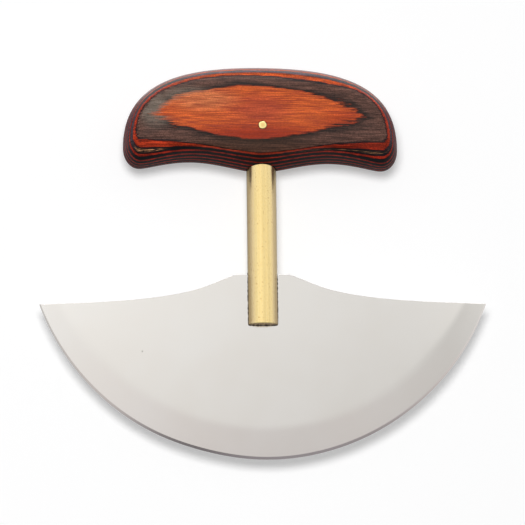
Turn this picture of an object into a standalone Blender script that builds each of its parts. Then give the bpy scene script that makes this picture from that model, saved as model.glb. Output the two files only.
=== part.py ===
"""Ulu knife: a curved stainless blade on a round brass stem, with a palm handle of dyed veneers.

Metres, +Z up. The knife lies flat on its back: +Y runs from the cutting edge along the stem to the
handle, +X along the blade, +Z out of the front face. The pieces are placed from the lowest point of
the cutting edge, in the blade's mid plane. An empty then lifts them until the handle's flat back is
at z = 0, and moves the middle of the length and of the height to the origin.
"""

import math

import bmesh
import bpy
from mathutils import Matrix, Vector

# Blade: heights are measured from the lowest point of the cutting edge
BLADE_LENGTH = 0.190
BLADE_THICKNESS = 0.0020
TIP_HEIGHT = 0.0672
SPINE_HEIGHT = 0.0797
HUMP_FLAT = 0.0225
HUMP_WIDTH = 0.0280
HUMP_SHOULDER_DROP = 0.0009
SPINE_SLOPE_RUN = 0.0120
SPINE_SLOPE_DROP = 0.0045
SPINE_TIP_RUN = 0.0635
SPINE_TIP_DROP = 0.0012
GRIND_WIDTH = 0.0136
GRIND_WIDTH_AT_TIP = 0.0088
HONE_WIDTH = 0.0012
HONE_THICKNESS = 0.0005

# Stem and the solder in its slot
STEM_DIAMETER = 0.0127
STEM_LOWER_END = 0.0580
STEM_CHAMFER = 0.0005
SOLDER_THICKNESS = 0.00015
SOLDER_RIM = 0.0004

# Handle outline, half of it: top, side, lobe under the finger tips, scallop, seat of the stem.
# Rises are measured from the seat. A fullness is how far the curve runs straight on from such a
# point before it bends away.
HANDLE_SEAT = 0.12375
HANDLE_HEIGHT = 0.0448
HANDLE_WIDTH = 0.11675
SIDE_RISE = 0.0100
LOBE_SPACING = 0.1028
LOBE_RISE = 0.00115
SCALLOP_SPACING = 0.0590
SCALLOP_RISE = 0.0041
TOP_FULLNESS = 0.0337
SHOULDER_FULLNESS = 0.0286
LOBE_SIDE_FULLNESS = 0.0051
LOBE_OUTER_FULLNESS = 0.0039
LOBE_INNER_FULLNESS = 0.0037
SCALLOP_OUTER_FULLNESS = 0.0099
SCALLOP_INNER_FULLNESS = 0.0111
SEAT_FULLNESS = 0.0073
HANDLE_CANT = math.radians(-0.71)
HANDLE_SHIFT = -0.0003

# Rim of the handle's face, where the rounded side ends and the crowned face begins.
# Insets and rises are measured from the outline's own points.
RIM_TOP_INSET = 0.0053
RIM_SIDE_INSET = 0.0049
RIM_SIDE_RISE = 0.0041
RIM_LOBE_INSET = 0.0007
RIM_LOBE_RISE = 0.0105
RIM_SEAT_RISE = 0.00655
RIM_TOP_FULLNESS = 0.0331
RIM_SHOULDER_FULLNESS = 0.0197
RIM_LOBE_SIDE_FULLNESS = 0.0009
RIM_LOBE_OUTER_FULLNESS = 0.0017
RIM_LOBE_INNER_FULLNESS = 0.0230
RIM_SEAT_FULLNESS = 0.0106
# How the side turns in towards the rim. Its curve is a blend of a broad rounding and a straight
# side with a tight corner, and a roundness is the broad one's share.
BROAD_ROUNDING_POWER = 1.5
CORNER_ROUNDING_POWER = 6.0
TOP_ROUNDNESS = 0.30
END_ROUNDNESS = 0.54
LOBE_ROUNDNESS = 0.36
UNDERSIDE_ROUNDNESS = 1.0

# Veneers, and the pointed ovals on the crowned face: the outer one is what sanding has left of the
# outermost veneer, measured in from the rim, and the inner one is the flat middle, measured from it
VENEER_THICKNESS = 0.00105
FACE_VENEER_THICKNESS = 0.0005
VENEER_COUNT = 27
OVAL_POINT_RISE = 0.02235
OVAL_SHIFT = -0.0023
OVAL_TOP_POWER = 1.9
OVAL_BOTTOM_POWER = 2.4
OVAL_TOP_INSET = 0.0040
OVAL_BOTTOM_INSET = 0.0061
OVAL_END_INSET = 0.0082
FLAT_TOP_INSET = 0.0066
FLAT_BOTTOM_INSET = 0.0038
FLAT_END_INSET = 0.0165

# Bore and pin
BORE_CLEARANCE = 0.0003
BORE_DEPTH = 0.0280
BORE_END_GAP = 0.0010
MOUTH_CHAMFER = 0.0010
PIN_DIAMETER = 0.003175
PIN_RISE = 0.01825
PIN_CLEARANCE = 0.0003

# Facets
EDGE_STEPS = 48
ROD_SIDES = 40
PIN_SIDES = 20
TOP_STEPS = 13
CORNER_STEPS = 6
WAVE_STEPS = 6
HALVINGS = 40
SMOOTH_ANGLE = math.radians(35)

# Worked out from the sizes above
HALF_BLADE = BLADE_LENGTH / 2
EDGE_RADIUS = (HALF_BLADE ** 2 + TIP_HEIGHT ** 2) / (2 * TIP_HEIGHT)
EDGE_ANGLE = math.asin(HALF_BLADE / EDGE_RADIUS)
STEM_RADIUS = STEM_DIAMETER / 2
BORE_RADIUS = STEM_RADIUS + BORE_CLEARANCE
BORE_TOP = HANDLE_SEAT + BORE_DEPTH
STEM_UPPER_END = BORE_TOP - BORE_END_GAP
SLOT_WIDTH = BLADE_THICKNESS + 2 * SOLDER_THICKNESS
SLOT_TOP = SPINE_HEIGHT + SOLDER_THICKNESS
HANDLE_THICKNESS = 2 * FACE_VENEER_THICKNESS + (VENEER_COUNT - 2) * VENEER_THICKNESS
HALF_HANDLE = HANDLE_THICKNESS / 2
RIM_DEPTH = FACE_VENEER_THICKNESS + VENEER_THICKNESS
PIN_HEIGHT = HANDLE_SEAT + PIN_RISE
RIGHT = Vector((1.0, 0.0))
UP = Vector((0.0, 1.0))


def clear_scene():
    for thing in list(bpy.data.objects):
        bpy.data.objects.remove(thing, do_unlink=True)


def material(name, colour, roughness, metallic=0.0):
    """A plain material. The colour is in linear light."""
    made = bpy.data.materials.new(name)
    made.use_nodes = True
    shader = made.node_tree.nodes["Principled BSDF"]
    shader.inputs["Base Color"].default_value = (*colour, 1.0)
    shader.inputs["Roughness"].default_value = roughness
    shader.inputs["Metallic"].default_value = metallic
    made.diffuse_color = (*colour, 1.0)
    return made


def add_object(name, mesh, parent, made_of=None):
    piece = bpy.data.objects.new(name, mesh)
    bpy.context.collection.objects.link(piece)
    piece.parent = parent
    if made_of is not None:
        mesh.materials.append(made_of)
    return piece


def mesh_from(name, corners, faces):
    """A mesh of the given faces, with its faces turned to point out."""
    mesh = bpy.data.meshes.new(name)
    builder = bmesh.new()
    vertices = [builder.verts.new(corner) for corner in corners]
    for face in faces:
        builder.faces.new([vertices[index] for index in face])
    bmesh.ops.recalc_face_normals(builder, faces=builder.faces)
    builder.to_mesh(mesh)
    builder.free()
    return mesh


def make_cutter(name, mesh, parent):
    cutter = add_object(name, mesh, parent)
    cutter.hide_render = True
    cutter.display_type = "WIRE"
    return cutter


def cut(piece, cutter):
    boolean = piece.modifiers.new("cut by " + cutter.name, "BOOLEAN")
    boolean.operation = "DIFFERENCE"
    boolean.solver = "EXACT"
    boolean.object = cutter


def smooth(mesh):
    mesh.shade_smooth()
    mesh.set_sharp_from_angle(angle=SMOOTH_ANGLE)


def turned(name, profile, sides):
    """A closed body turned about the Y axis, from (radius, y) points running along the axis."""
    corners = []
    for radius, along in profile:
        for step in range(sides):
            turn = 2 * math.pi * (step + 0.5) / sides
            corners.append((radius * math.cos(turn), along, radius * math.sin(turn)))
    last = (len(profile) - 1) * sides
    faces = [tuple(range(sides)), tuple(range(last, last + sides))]
    for ring in range(len(profile) - 1):
        for step in range(sides):
            after = (step + 1) % sides
            low = ring * sides
            faces.append((low + step, low + after, low + sides + after, low + sides + step))
    mesh = mesh_from(name, corners, faces)
    smooth(mesh)
    return mesh


def box_mesh(name, low, high):
    mesh = bpy.data.meshes.new(name)
    builder = bmesh.new()
    bmesh.ops.create_cube(builder, size=1.0)
    size = Vector(high) - Vector(low)
    middle = (Vector(high) + Vector(low)) / 2
    placed = Matrix.Translation(middle) @ Matrix.Diagonal((*size, 1.0))
    bmesh.ops.transform(builder, matrix=placed, verts=builder.verts)
    builder.to_mesh(mesh)
    builder.free()
    return mesh


def curve_point(start, leaving, arriving, end, t):
    """The point at t, from 0 to 1, of a cubic curve."""
    u = 1 - t
    return u ** 3 * start + 3 * u * u * t * leaving + 3 * u * t * t * arriving + t ** 3 * end


def curve(start, leaving, arriving, end, steps):
    """Points along a cubic curve, without its last one."""
    return [curve_point(start, leaving, arriving, end, step / steps) for step in range(steps)]


def spine_height(x):
    """Height of the blade's back at x: a flat hump, its shoulder, then a hollow sweep to the tip."""
    x = abs(x)
    flat = HUMP_FLAT / 2
    shoulder = Vector((HUMP_WIDTH / 2, SPINE_HEIGHT - HUMP_SHOULDER_DROP))
    if x <= flat:
        return SPINE_HEIGHT
    if x <= shoulder.x:
        share = (x - flat) / (shoulder.x - flat)
        return SPINE_HEIGHT - HUMP_SHOULDER_DROP * share ** 2
    tip = Vector((HALF_BLADE, TIP_HEIGHT))
    leaving = shoulder + Vector((SPINE_SLOPE_RUN, -SPINE_SLOPE_DROP))
    arriving = tip + Vector((-SPINE_TIP_RUN, SPINE_TIP_DROP))
    low, high = 0.0, 1.0
    for _ in range(HALVINGS):
        t = (low + high) / 2
        point = curve_point(shoulder, leaving, arriving, tip, t)
        if point.x < x:
            low = t
        else:
            high = t
    return point.y


def spine_distance(angle):
    """Distance from the edge to the back of the blade, along the radius at this angle."""
    low, high = 0.0, EDGE_RADIUS
    for _ in range(HALVINGS):
        inward = (low + high) / 2
        radius = EDGE_RADIUS - inward
        height = EDGE_RADIUS - radius * math.cos(angle)
        if height < spine_height(radius * math.sin(angle)):
            low = inward
        else:
            high = inward
    return inward


def grind_width(angle):
    share = (angle / EDGE_ANGLE) ** 2
    return GRIND_WIDTH + (GRIND_WIDTH_AT_TIP - GRIND_WIDTH) * share


def angle_where(width):
    """The angle at which the blade is only this wide between its edge and its back."""
    low, high = 0.0, EDGE_ANGLE
    for _ in range(HALVINGS):
        angle = (low + high) / 2
        if spine_distance(angle) > width(angle):
            low = angle
        else:
            high = angle
    return angle


def half_thickness(inward, angle):
    """Half the blade's thickness at a distance inward from the edge."""
    if inward <= HONE_WIDTH:
        return HONE_THICKNESS / 2 * inward / HONE_WIDTH
    share = min(1.0, (inward - HONE_WIDTH) / (grind_width(angle) - HONE_WIDTH))
    return (HONE_THICKNESS + (BLADE_THICKNESS - HONE_THICKNESS) * share) / 2


def blade_mesh():
    grind_end = angle_where(grind_width)
    hone_end = angle_where(lambda angle: HONE_WIDTH)
    angles = {0.0, grind_end, hone_end, EDGE_ANGLE}
    for step in range(1, EDGE_STEPS // 2):
        angle = EDGE_ANGLE * step / (EDGE_STEPS / 2)
        if min(abs(angle - grind_end), abs(angle - hone_end)) > EDGE_ANGLE / EDGE_STEPS:
            angles.add(angle)
    angles.add(math.atan((HUMP_FLAT / 2) / (EDGE_RADIUS - SPINE_HEIGHT)))
    angles.add(math.atan((HUMP_WIDTH / 2) / (EDGE_RADIUS - SPINE_HEIGHT + HUMP_SHOULDER_DROP)))
    angles = sorted(angles | {-angle for angle in angles})

    corners = []
    places = {}

    def corner(angle, inward, side):
        radius = EDGE_RADIUS - inward
        x = radius * math.sin(angle)
        y = EDGE_RADIUS - radius * math.cos(angle)
        z = side * half_thickness(inward, angle)
        key = (round(x, 8), round(y, 8), round(z, 8))
        if key not in places:
            places[key] = len(corners)
            corners.append((x, y, z))
        return places[key]

    def column(angle, side):
        back = spine_distance(abs(angle)) if abs(angle) < EDGE_ANGLE else 0.0
        rows = (0.0, HONE_WIDTH, grind_width(angle), back)
        return [corner(angle, min(inward, back), side) for inward in rows]

    faces = []

    def add_face(*indices):
        distinct = list(dict.fromkeys(indices))
        if len(distinct) > 2:
            faces.append(distinct)

    for near, far in zip(angles, angles[1:]):
        fronts = column(near, 1), column(far, 1)
        backs = column(near, -1), column(far, -1)
        for left, right in (fronts, backs):
            for row in range(3):
                add_face(left[row], right[row], right[row + 1], left[row + 1])
        add_face(fronts[0][3], fronts[1][3], backs[1][3], backs[0][3])
    return mesh_from("blade", corners, faces)


def mirrored(right):
    """The whole closed curve, clockwise from its top, from its right half."""
    return right + [Vector((-point.x, point.y)) for point in reversed(right[1:-1])]


def outline_stations():
    """Top, side, lobe, scallop and seat of the outline's right half."""
    top = Vector((0.0, HANDLE_SEAT + HANDLE_HEIGHT))
    side = Vector((HANDLE_WIDTH / 2, HANDLE_SEAT + SIDE_RISE))
    lobe = Vector((LOBE_SPACING / 2, HANDLE_SEAT + LOBE_RISE))
    scallop = Vector((SCALLOP_SPACING / 2, HANDLE_SEAT + SCALLOP_RISE))
    seat = Vector((0.0, HANDLE_SEAT))
    return top, side, lobe, scallop, seat


def rim_stations():
    """Top, side, lobe and seat of the face rim's right half."""
    top, side, lobe, _, seat = outline_stations()
    return (
        top - RIM_TOP_INSET * UP,
        side + Vector((-RIM_SIDE_INSET, RIM_SIDE_RISE)),
        lobe + Vector((-RIM_LOBE_INSET, RIM_LOBE_RISE)),
        seat + RIM_SEAT_RISE * UP,
    )


def handle_outline():
    """The handle's outline in its mid plane."""
    top, side, lobe, scallop, seat = outline_stations()
    shoulder = side + SHOULDER_FULLNESS * UP
    points = curve(top, top + TOP_FULLNESS * RIGHT, shoulder, side, TOP_STEPS)
    corner = lobe + LOBE_OUTER_FULLNESS * RIGHT
    points += curve(side, side - LOBE_SIDE_FULLNESS * UP, corner, lobe, CORNER_STEPS)
    crest = scallop + SCALLOP_OUTER_FULLNESS * RIGHT
    points += curve(lobe, lobe - LOBE_INNER_FULLNESS * RIGHT, crest, scallop, WAVE_STEPS)
    crest = scallop - SCALLOP_INNER_FULLNESS * RIGHT
    points += curve(scallop, crest, seat + SEAT_FULLNESS * RIGHT, seat, WAVE_STEPS)
    return mirrored(points + [seat])


def face_rim():
    """The rim of the handle's face, with one point for each of the outline's."""
    top, side, lobe, seat = rim_stations()
    shoulder = side + RIM_SHOULDER_FULLNESS * UP
    points = curve(top, top + RIM_TOP_FULLNESS * RIGHT, shoulder, side, TOP_STEPS)
    corner = lobe + RIM_LOBE_OUTER_FULLNESS * RIGHT
    points += curve(side, side - RIM_LOBE_SIDE_FULLNESS * UP, corner, lobe, CORNER_STEPS)
    inner = seat + RIM_SEAT_FULLNESS * RIGHT
    points += curve(lobe, lobe - RIM_LOBE_INNER_FULLNESS * RIGHT, inner, seat, 2 * WAVE_STEPS)
    return mirrored(points + [seat])


def pointed_oval(top_inset, bottom_inset, end_inset):
    """An oval drawn in from the face's rim, with one point for each of the outline's."""
    top, side, _, seat = rim_stations()
    middle = Vector((OVAL_SHIFT, HANDLE_SEAT + OVAL_POINT_RISE))
    rise = top.y - top_inset - middle.y
    drop = middle.y - seat.y - bottom_inset
    points = []
    for point in handle_outline():
        turn = math.atan2((point.y - middle.y) / (HANDLE_HEIGHT / 2), point.x / (HANDLE_WIDTH / 2))
        swing = abs(math.sin(turn))
        lift = rise * swing ** OVAL_TOP_POWER if turn > 0 else -drop * swing ** OVAL_BOTTOM_POWER
        points.append(middle + Vector(((side.x - end_inset) * math.cos(turn), lift)))
    return points


def roundnesses():
    """The roundness of the side, for each of the outline's points."""
    stretches = (
        (TOP_ROUNDNESS, END_ROUNDNESS, TOP_STEPS),
        (END_ROUNDNESS, LOBE_ROUNDNESS, CORNER_STEPS),
        (LOBE_ROUNDNESS, UNDERSIDE_ROUNDNESS, WAVE_STEPS),
        (UNDERSIDE_ROUNDNESS, UNDERSIDE_ROUNDNESS, WAVE_STEPS + 1),
    )
    shares = []
    for first, last, steps in stretches:
        for step in range(steps):
            eased = (1 - math.cos(math.pi * step / steps)) / 2
            shares.append(first + (last - first) * eased)
    return shares + shares[-2:0:-1]


def handle_contour(depth):
    """The handle's contour at a glue line's depth, turned by the cant and set over the stem."""
    if depth < FACE_VENEER_THICKNESS / 2:
        points = pointed_oval(
            OVAL_TOP_INSET + FLAT_TOP_INSET,
            OVAL_BOTTOM_INSET + FLAT_BOTTOM_INSET,
            OVAL_END_INSET + FLAT_END_INSET,
        )
    elif depth < FACE_VENEER_THICKNESS + VENEER_THICKNESS / 2:
        points = pointed_oval(OVAL_TOP_INSET, OVAL_BOTTOM_INSET, OVAL_END_INSET)
    else:
        rise = (HALF_HANDLE - depth) / (HALF_HANDLE - RIM_DEPTH)
        broad = rise ** BROAD_ROUNDING_POWER
        tight = rise ** CORNER_ROUNDING_POWER
        trios = zip(handle_outline(), face_rim(), roundnesses())
        points = [out.lerp(rim, share * broad + (1 - share) * tight) for out, rim, share in trios]
    pivot = Vector((0.0, PIN_HEIGHT))
    turn = Matrix.Rotation(HANDLE_CANT, 2)
    shift = Vector((HANDLE_SHIFT, 0.0))
    return [turn @ (point - pivot) + pivot + shift for point in points]


def glue_lines():
    """Height of each face between veneers, from the front face down to the back."""
    heights = [HALF_HANDLE, HALF_HANDLE - FACE_VENEER_THICKNESS]
    for _ in range(VENEER_COUNT - 2):
        heights.append(heights[-1] - VENEER_THICKNESS)
    heights.append(-HALF_HANDLE)
    return heights


def veneer_mesh(name, upper, lower):
    rings = []
    for height in (upper, lower):
        depth = HALF_HANDLE - abs(height)
        rings.append([(point.x, point.y, height) for point in handle_contour(depth)])
    count = len(rings[0])
    faces = [tuple(range(count)), tuple(range(count, 2 * count))]
    for index in range(count):
        after = (index + 1) % count
        faces.append((index, after, count + after, count + index))
    return mesh_from(name, rings[0] + rings[1], faces)


def build_blade(parent, steel):
    add_object("blade", blade_mesh(), parent, steel)


def build_solder(parent, solder):
    """The film in the slot: it wraps the blade's back and stands out a little beside the stem."""
    reach = math.sqrt(STEM_RADIUS ** 2 - (SLOT_WIDTH / 2) ** 2) + SOLDER_RIM
    outer = box_mesh(
        "solder_seam",
        (-reach, STEM_LOWER_END, -SLOT_WIDTH / 2),
        (reach, SLOT_TOP, SLOT_WIDTH / 2),
    )
    film = add_object("solder_seam", outer, parent, solder)
    beyond = BLADE_THICKNESS
    inner = box_mesh(
        "blade_space",
        (-reach - beyond, STEM_LOWER_END - beyond, -BLADE_THICKNESS / 2),
        (reach + beyond, SPINE_HEIGHT, BLADE_THICKNESS / 2),
    )
    cut(film, make_cutter("blade_space", inner, parent))


def build_stem(parent, brass, pin_hole):
    profile = (
        (STEM_RADIUS, STEM_LOWER_END),
        (STEM_RADIUS, STEM_UPPER_END - STEM_CHAMFER),
        (STEM_RADIUS - STEM_CHAMFER, STEM_UPPER_END),
    )
    stem = add_object("stem", turned("stem", profile, ROD_SIDES), parent, brass)
    slot = box_mesh(
        "slot",
        (-STEM_DIAMETER, STEM_LOWER_END - STEM_DIAMETER, -SLOT_WIDTH / 2),
        (STEM_DIAMETER, SLOT_TOP, SLOT_WIDTH / 2),
    )
    cut(stem, make_cutter("slot", slot, parent))
    cut(stem, pin_hole)


def build_pin(parent, brass):
    profile = (
        (PIN_DIAMETER / 2, -HALF_HANDLE),
        (PIN_DIAMETER / 2, HALF_HANDLE),
    )
    pin = add_object("handle_pin", turned("handle_pin", profile, PIN_SIDES), parent, brass)
    pin.location = (0.0, PIN_HEIGHT, 0.0)
    pin.rotation_euler = (math.radians(90), 0.0, 0.0)


def build_pin_hole(parent):
    radius = PIN_DIAMETER / 2 + PIN_CLEARANCE
    profile = (
        (radius, -HANDLE_THICKNESS),
        (radius, HANDLE_THICKNESS),
    )
    hole = make_cutter("pin_hole", turned("pin_hole", profile, PIN_SIDES), parent)
    hole.location = (0.0, PIN_HEIGHT, 0.0)
    hole.rotation_euler = (math.radians(90), 0.0, 0.0)
    return hole


def build_bore(parent):
    """The blind hole for the stem, with its mouth opened a little."""
    mouth = BORE_RADIUS + MOUTH_CHAMFER
    profile = (
        (mouth, HANDLE_SEAT - MOUTH_CHAMFER),
        (mouth, HANDLE_SEAT),
        (BORE_RADIUS, HANDLE_SEAT + MOUTH_CHAMFER),
        (BORE_RADIUS, BORE_TOP),
    )
    return make_cutter("bore", turned("bore", profile, ROD_SIDES), parent)


def build_handle(parent, orange, black, red, bore, pin_hole):
    """The veneers from front to back: orange faces, then black and red by turns."""
    heights = glue_lines()
    for index in range(VENEER_COUNT):
        if index in (0, VENEER_COUNT - 1):
            colour, wood = "orange", orange
        elif index % 2:
            colour, wood = "black", black
        else:
            colour, wood = "red", red
        name = f"veneer_{index + 1:02d}_{colour}"
        upper, lower = heights[index], heights[index + 1]
        veneer = add_object(name, veneer_mesh(name, upper, lower), parent, wood)
        if min(abs(upper), abs(lower)) < BORE_RADIUS + MOUTH_CHAMFER:
            cut(veneer, bore)
        cut(veneer, pin_hole)


def build():
    clear_scene()
    steel = material("satin_stainless_steel", (0.66, 0.63, 0.60), 0.32, 1.0)
    brass = material("brass", (0.80, 0.60, 0.30), 0.30, 1.0)
    pin_brass = material("pin_brass", (0.85, 0.58, 0.24), 0.28, 1.0)
    solder = material("dark_solder", (0.10, 0.07, 0.05), 0.6, 0.5)
    orange = material("orange_veneer", (0.62, 0.13, 0.03), 0.35)
    black = material("black_veneer", (0.035, 0.022, 0.018), 0.35)
    red = material("red_veneer", (0.38, 0.02, 0.012), 0.35)

    frame = bpy.data.objects.new("knife_frame", None)
    bpy.context.collection.objects.link(frame)
    highest = max(point.y for point in handle_contour(HALF_HANDLE))
    frame.location = (0.0, -highest / 2, HALF_HANDLE)

    pin_hole = build_pin_hole(frame)
    bore = build_bore(frame)
    build_blade(frame, steel)
    build_solder(frame, solder)
    build_stem(frame, brass, pin_hole)
    build_pin(frame, pin_brass)
    build_handle(frame, orange, black, red, bore, pin_hole)


build()
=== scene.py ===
"""The looks of an ulu knife that lies flat on a white table, seen from above.

Everything is in metres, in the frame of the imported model: +X along the blade, +Y from the cutting
edge to the handle, +Z up. The handle's flat back lies on z = 0.
"""

import math

import bmesh
import bpy
import numpy as np
from mathutils import Matrix, Vector


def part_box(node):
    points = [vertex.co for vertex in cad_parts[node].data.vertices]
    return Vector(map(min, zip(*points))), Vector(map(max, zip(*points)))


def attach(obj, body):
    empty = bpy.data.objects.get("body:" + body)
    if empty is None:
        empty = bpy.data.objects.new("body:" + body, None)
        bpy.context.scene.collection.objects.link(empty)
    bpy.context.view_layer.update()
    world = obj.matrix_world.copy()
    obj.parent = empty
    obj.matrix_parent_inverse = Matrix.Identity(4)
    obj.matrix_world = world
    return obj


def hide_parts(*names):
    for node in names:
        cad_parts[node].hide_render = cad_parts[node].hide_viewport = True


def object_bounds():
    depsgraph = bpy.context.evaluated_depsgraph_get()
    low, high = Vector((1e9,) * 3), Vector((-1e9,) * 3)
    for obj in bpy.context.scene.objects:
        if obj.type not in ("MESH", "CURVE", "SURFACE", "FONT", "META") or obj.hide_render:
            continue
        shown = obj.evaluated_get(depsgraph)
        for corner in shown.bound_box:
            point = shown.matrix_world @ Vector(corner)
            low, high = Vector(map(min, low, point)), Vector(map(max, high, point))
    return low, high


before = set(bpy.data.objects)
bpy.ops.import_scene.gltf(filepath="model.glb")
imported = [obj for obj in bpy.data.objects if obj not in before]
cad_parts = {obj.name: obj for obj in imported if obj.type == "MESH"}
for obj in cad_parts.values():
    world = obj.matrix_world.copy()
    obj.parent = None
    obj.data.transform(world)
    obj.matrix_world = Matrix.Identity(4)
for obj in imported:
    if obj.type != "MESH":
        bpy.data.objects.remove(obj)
cad_low, cad_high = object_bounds()


# Blade. One sheet of stainless steel, 2 mm thick, cut to a half moon with a low hump in its back.
# It is ground flat from the edge inwards, honed to a narrow bevel, and finished to an even satin.
# Distances below run inwards from the cutting edge, which is an arc through both tips.
MM = 0.001
BLADE_LENGTH = 190.0 * MM
BLADE_THICKNESS = 2.0 * MM
TIP_HEIGHT = 67.2 * MM
SPINE_HEIGHT = 79.7 * MM
HUMP_FLAT = 20.4 * MM
HUMP_WIDTH = 28.0 * MM
HUMP_SHOULDER_DROP = 0.9 * MM
SPINE_SLOPE = Vector((12.0, -4.5)) * MM
SPINE_TIP_RUN = Vector((-63.5, 1.2)) * MM
# In the middle of the edge and at a tip: the widths of the honed bevel and of the ground zone, how
# far the zone's end is blended into the flat, and the blade's thickness where the bevel ends
HONE_WIDTH = (1.2 * MM, 0.6 * MM)
GRIND_WIDTH = (13.6 * MM, 8.8 * MM)
GRIND_BLEND = (1.6 * MM, 2.6 * MM)
HONE_THICKNESS = (0.5 * MM, 0.3 * MM)
# The radius of the back's eased corners, and the most that it takes of the thickness and width
SPINE_EASE = 0.22 * MM
EASE_PER_THICKNESS = 0.6
EASE_PER_WIDTH = 0.4
# Points from the edge to the back, as shares of the bevel, of the blend and of the eased corner
HONE_STOPS = (0.0, 0.5, 1.0, 1.4)
BLEND_STOPS = (-1.5, -1, -0.6, -0.2, 0.2, 0.6, 1, 1.5)
EASE_STOPS = (3, 1)
ROUNDING = [math.radians(degrees) for degrees in (30, 60, 90)]
# What sharpening by hand has taken off the edge, most of it at left
EDGE_WEAR = 0.2 * MM
LEFT_WEAR = 0.6 * MM
LEFT_WEAR_PLACE = math.radians(-15)
LEFT_WEAR_REACH = math.radians(13)
WEAR_FADE = 25.0 * MM
HALF_BLADE = BLADE_LENGTH / 2
EDGE_RADIUS = (HALF_BLADE ** 2 + TIP_HEIGHT ** 2) / (2 * TIP_HEIGHT)
EDGE_ANGLE = math.asin(HALF_BLADE / EDGE_RADIUS)
EDGE_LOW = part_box("blade")[0][1]
BLADE_MIDDLE = (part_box("blade")[0][2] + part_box("blade")[1][2]) / 2
BLADE_COLUMNS = 150
COLUMN_CROWDING = 1.5
HALVINGS = 40
WELD_REACH = 0.002 * MM


def bezier(start, leaving, arriving, end, t):
    """The point at t, from 0 to 1, of a cubic curve."""
    u = 1 - t
    return u ** 3 * start + 3 * u * u * t * leaving + 3 * u * t * t * arriving + t ** 3 * end


def spine_height(x):
    """Height of the blade's back above the edge's lowest point: hump, shoulder, hollow sweep."""
    shoulder = Vector((HUMP_WIDTH / 2, SPINE_HEIGHT - HUMP_SHOULDER_DROP))
    if x <= shoulder.x:
        share = max(0.0, (x - HUMP_FLAT / 2) / (shoulder.x - HUMP_FLAT / 2))
        return SPINE_HEIGHT - HUMP_SHOULDER_DROP * share ** 2
    tip = Vector((HALF_BLADE, TIP_HEIGHT))
    low, high = 0.0, 1.0
    for _ in range(HALVINGS):
        t = (low + high) / 2
        point = bezier(shoulder, shoulder + SPINE_SLOPE, tip + SPINE_TIP_RUN, tip, t)
        low, high = (t, high) if point.x < x else (low, t)
    return point.y


def spine_distance(angle):
    """Distance from the edge to the blade's back, along the radius at this angle."""
    low, high = 0.0, EDGE_RADIUS
    for _ in range(HALVINGS):
        inward = (low + high) / 2
        radius = EDGE_RADIUS - inward
        inside = EDGE_RADIUS - radius * math.cos(angle) < spine_height(radius * math.sin(angle))
        low, high = (inward, high) if inside else (low, inward)
    return inward


def half_thickness(inward, hone, grind, blend, honed):
    """Half the blade's thickness, with the end of the ground zone blended into the flat."""
    if inward <= hone:
        return honed / 2 * inward / hone
    slope = (BLADE_THICKNESS - honed) / 2 / (grind - hone)
    straight = min(inward, grind - blend) - hone
    bend = min(1.0, max(0.0, (inward - grind + blend) / (2 * blend)))
    return honed / 2 + slope * (straight + 2 * blend * (bend - bend ** 2 / 2))


def blade_column(angle):
    """(distance inward, half thickness) from the edge to the eased back, on one radius."""
    back = spine_distance(angle) if angle < EDGE_ANGLE else 0.0
    share = (angle / EDGE_ANGLE) ** 2
    ground = HONE_WIDTH, GRIND_WIDTH, GRIND_BLEND, HONE_THICKNESS
    shape = [middle + (tip - middle) * share for middle, tip in ground]
    hone, grind, blend, _ = shape
    full = half_thickness(back, *shape)
    ease = min(SPINE_EASE, EASE_PER_THICKNESS * full, EASE_PER_WIDTH * back)
    stops = [hone * stop for stop in HONE_STOPS] + [grind + blend * stop for stop in BLEND_STOPS]
    stops += [back - ease * stop for stop in EASE_STOPS]
    stops = sorted(min(inward, back - ease) for inward in stops)
    column = [(inward, half_thickness(inward, *shape)) for inward in stops]
    rim = column[-1][1]
    for turn in ROUNDING:
        column.append((back - ease * (1 - math.sin(turn)), rim - ease * (1 - math.cos(turn))))
    return column


def edge_wear(angle):
    """How much steel sharpening has taken off the edge at this angle."""
    left = math.exp(-((angle - LEFT_WEAR_PLACE) / LEFT_WEAR_REACH) ** 2)
    return EDGE_WEAR * (1 - (angle / EDGE_ANGLE) ** 2) + LEFT_WEAR * left


def add_piece(name, mesh, finish):
    """Puts a mesh in the scene as a piece with one material."""
    piece = bpy.data.objects.new(name, mesh)
    bpy.context.collection.objects.link(piece)
    mesh.materials.clear()
    mesh.materials.append(finish)
    return piece


def finished(builder, name):
    """The mesh that a builder holds, with its faces turned outwards."""
    bmesh.ops.recalc_face_normals(builder, faces=builder.faces)
    mesh = bpy.data.meshes.new(name)
    builder.to_mesh(mesh)
    builder.free()
    return mesh


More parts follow.
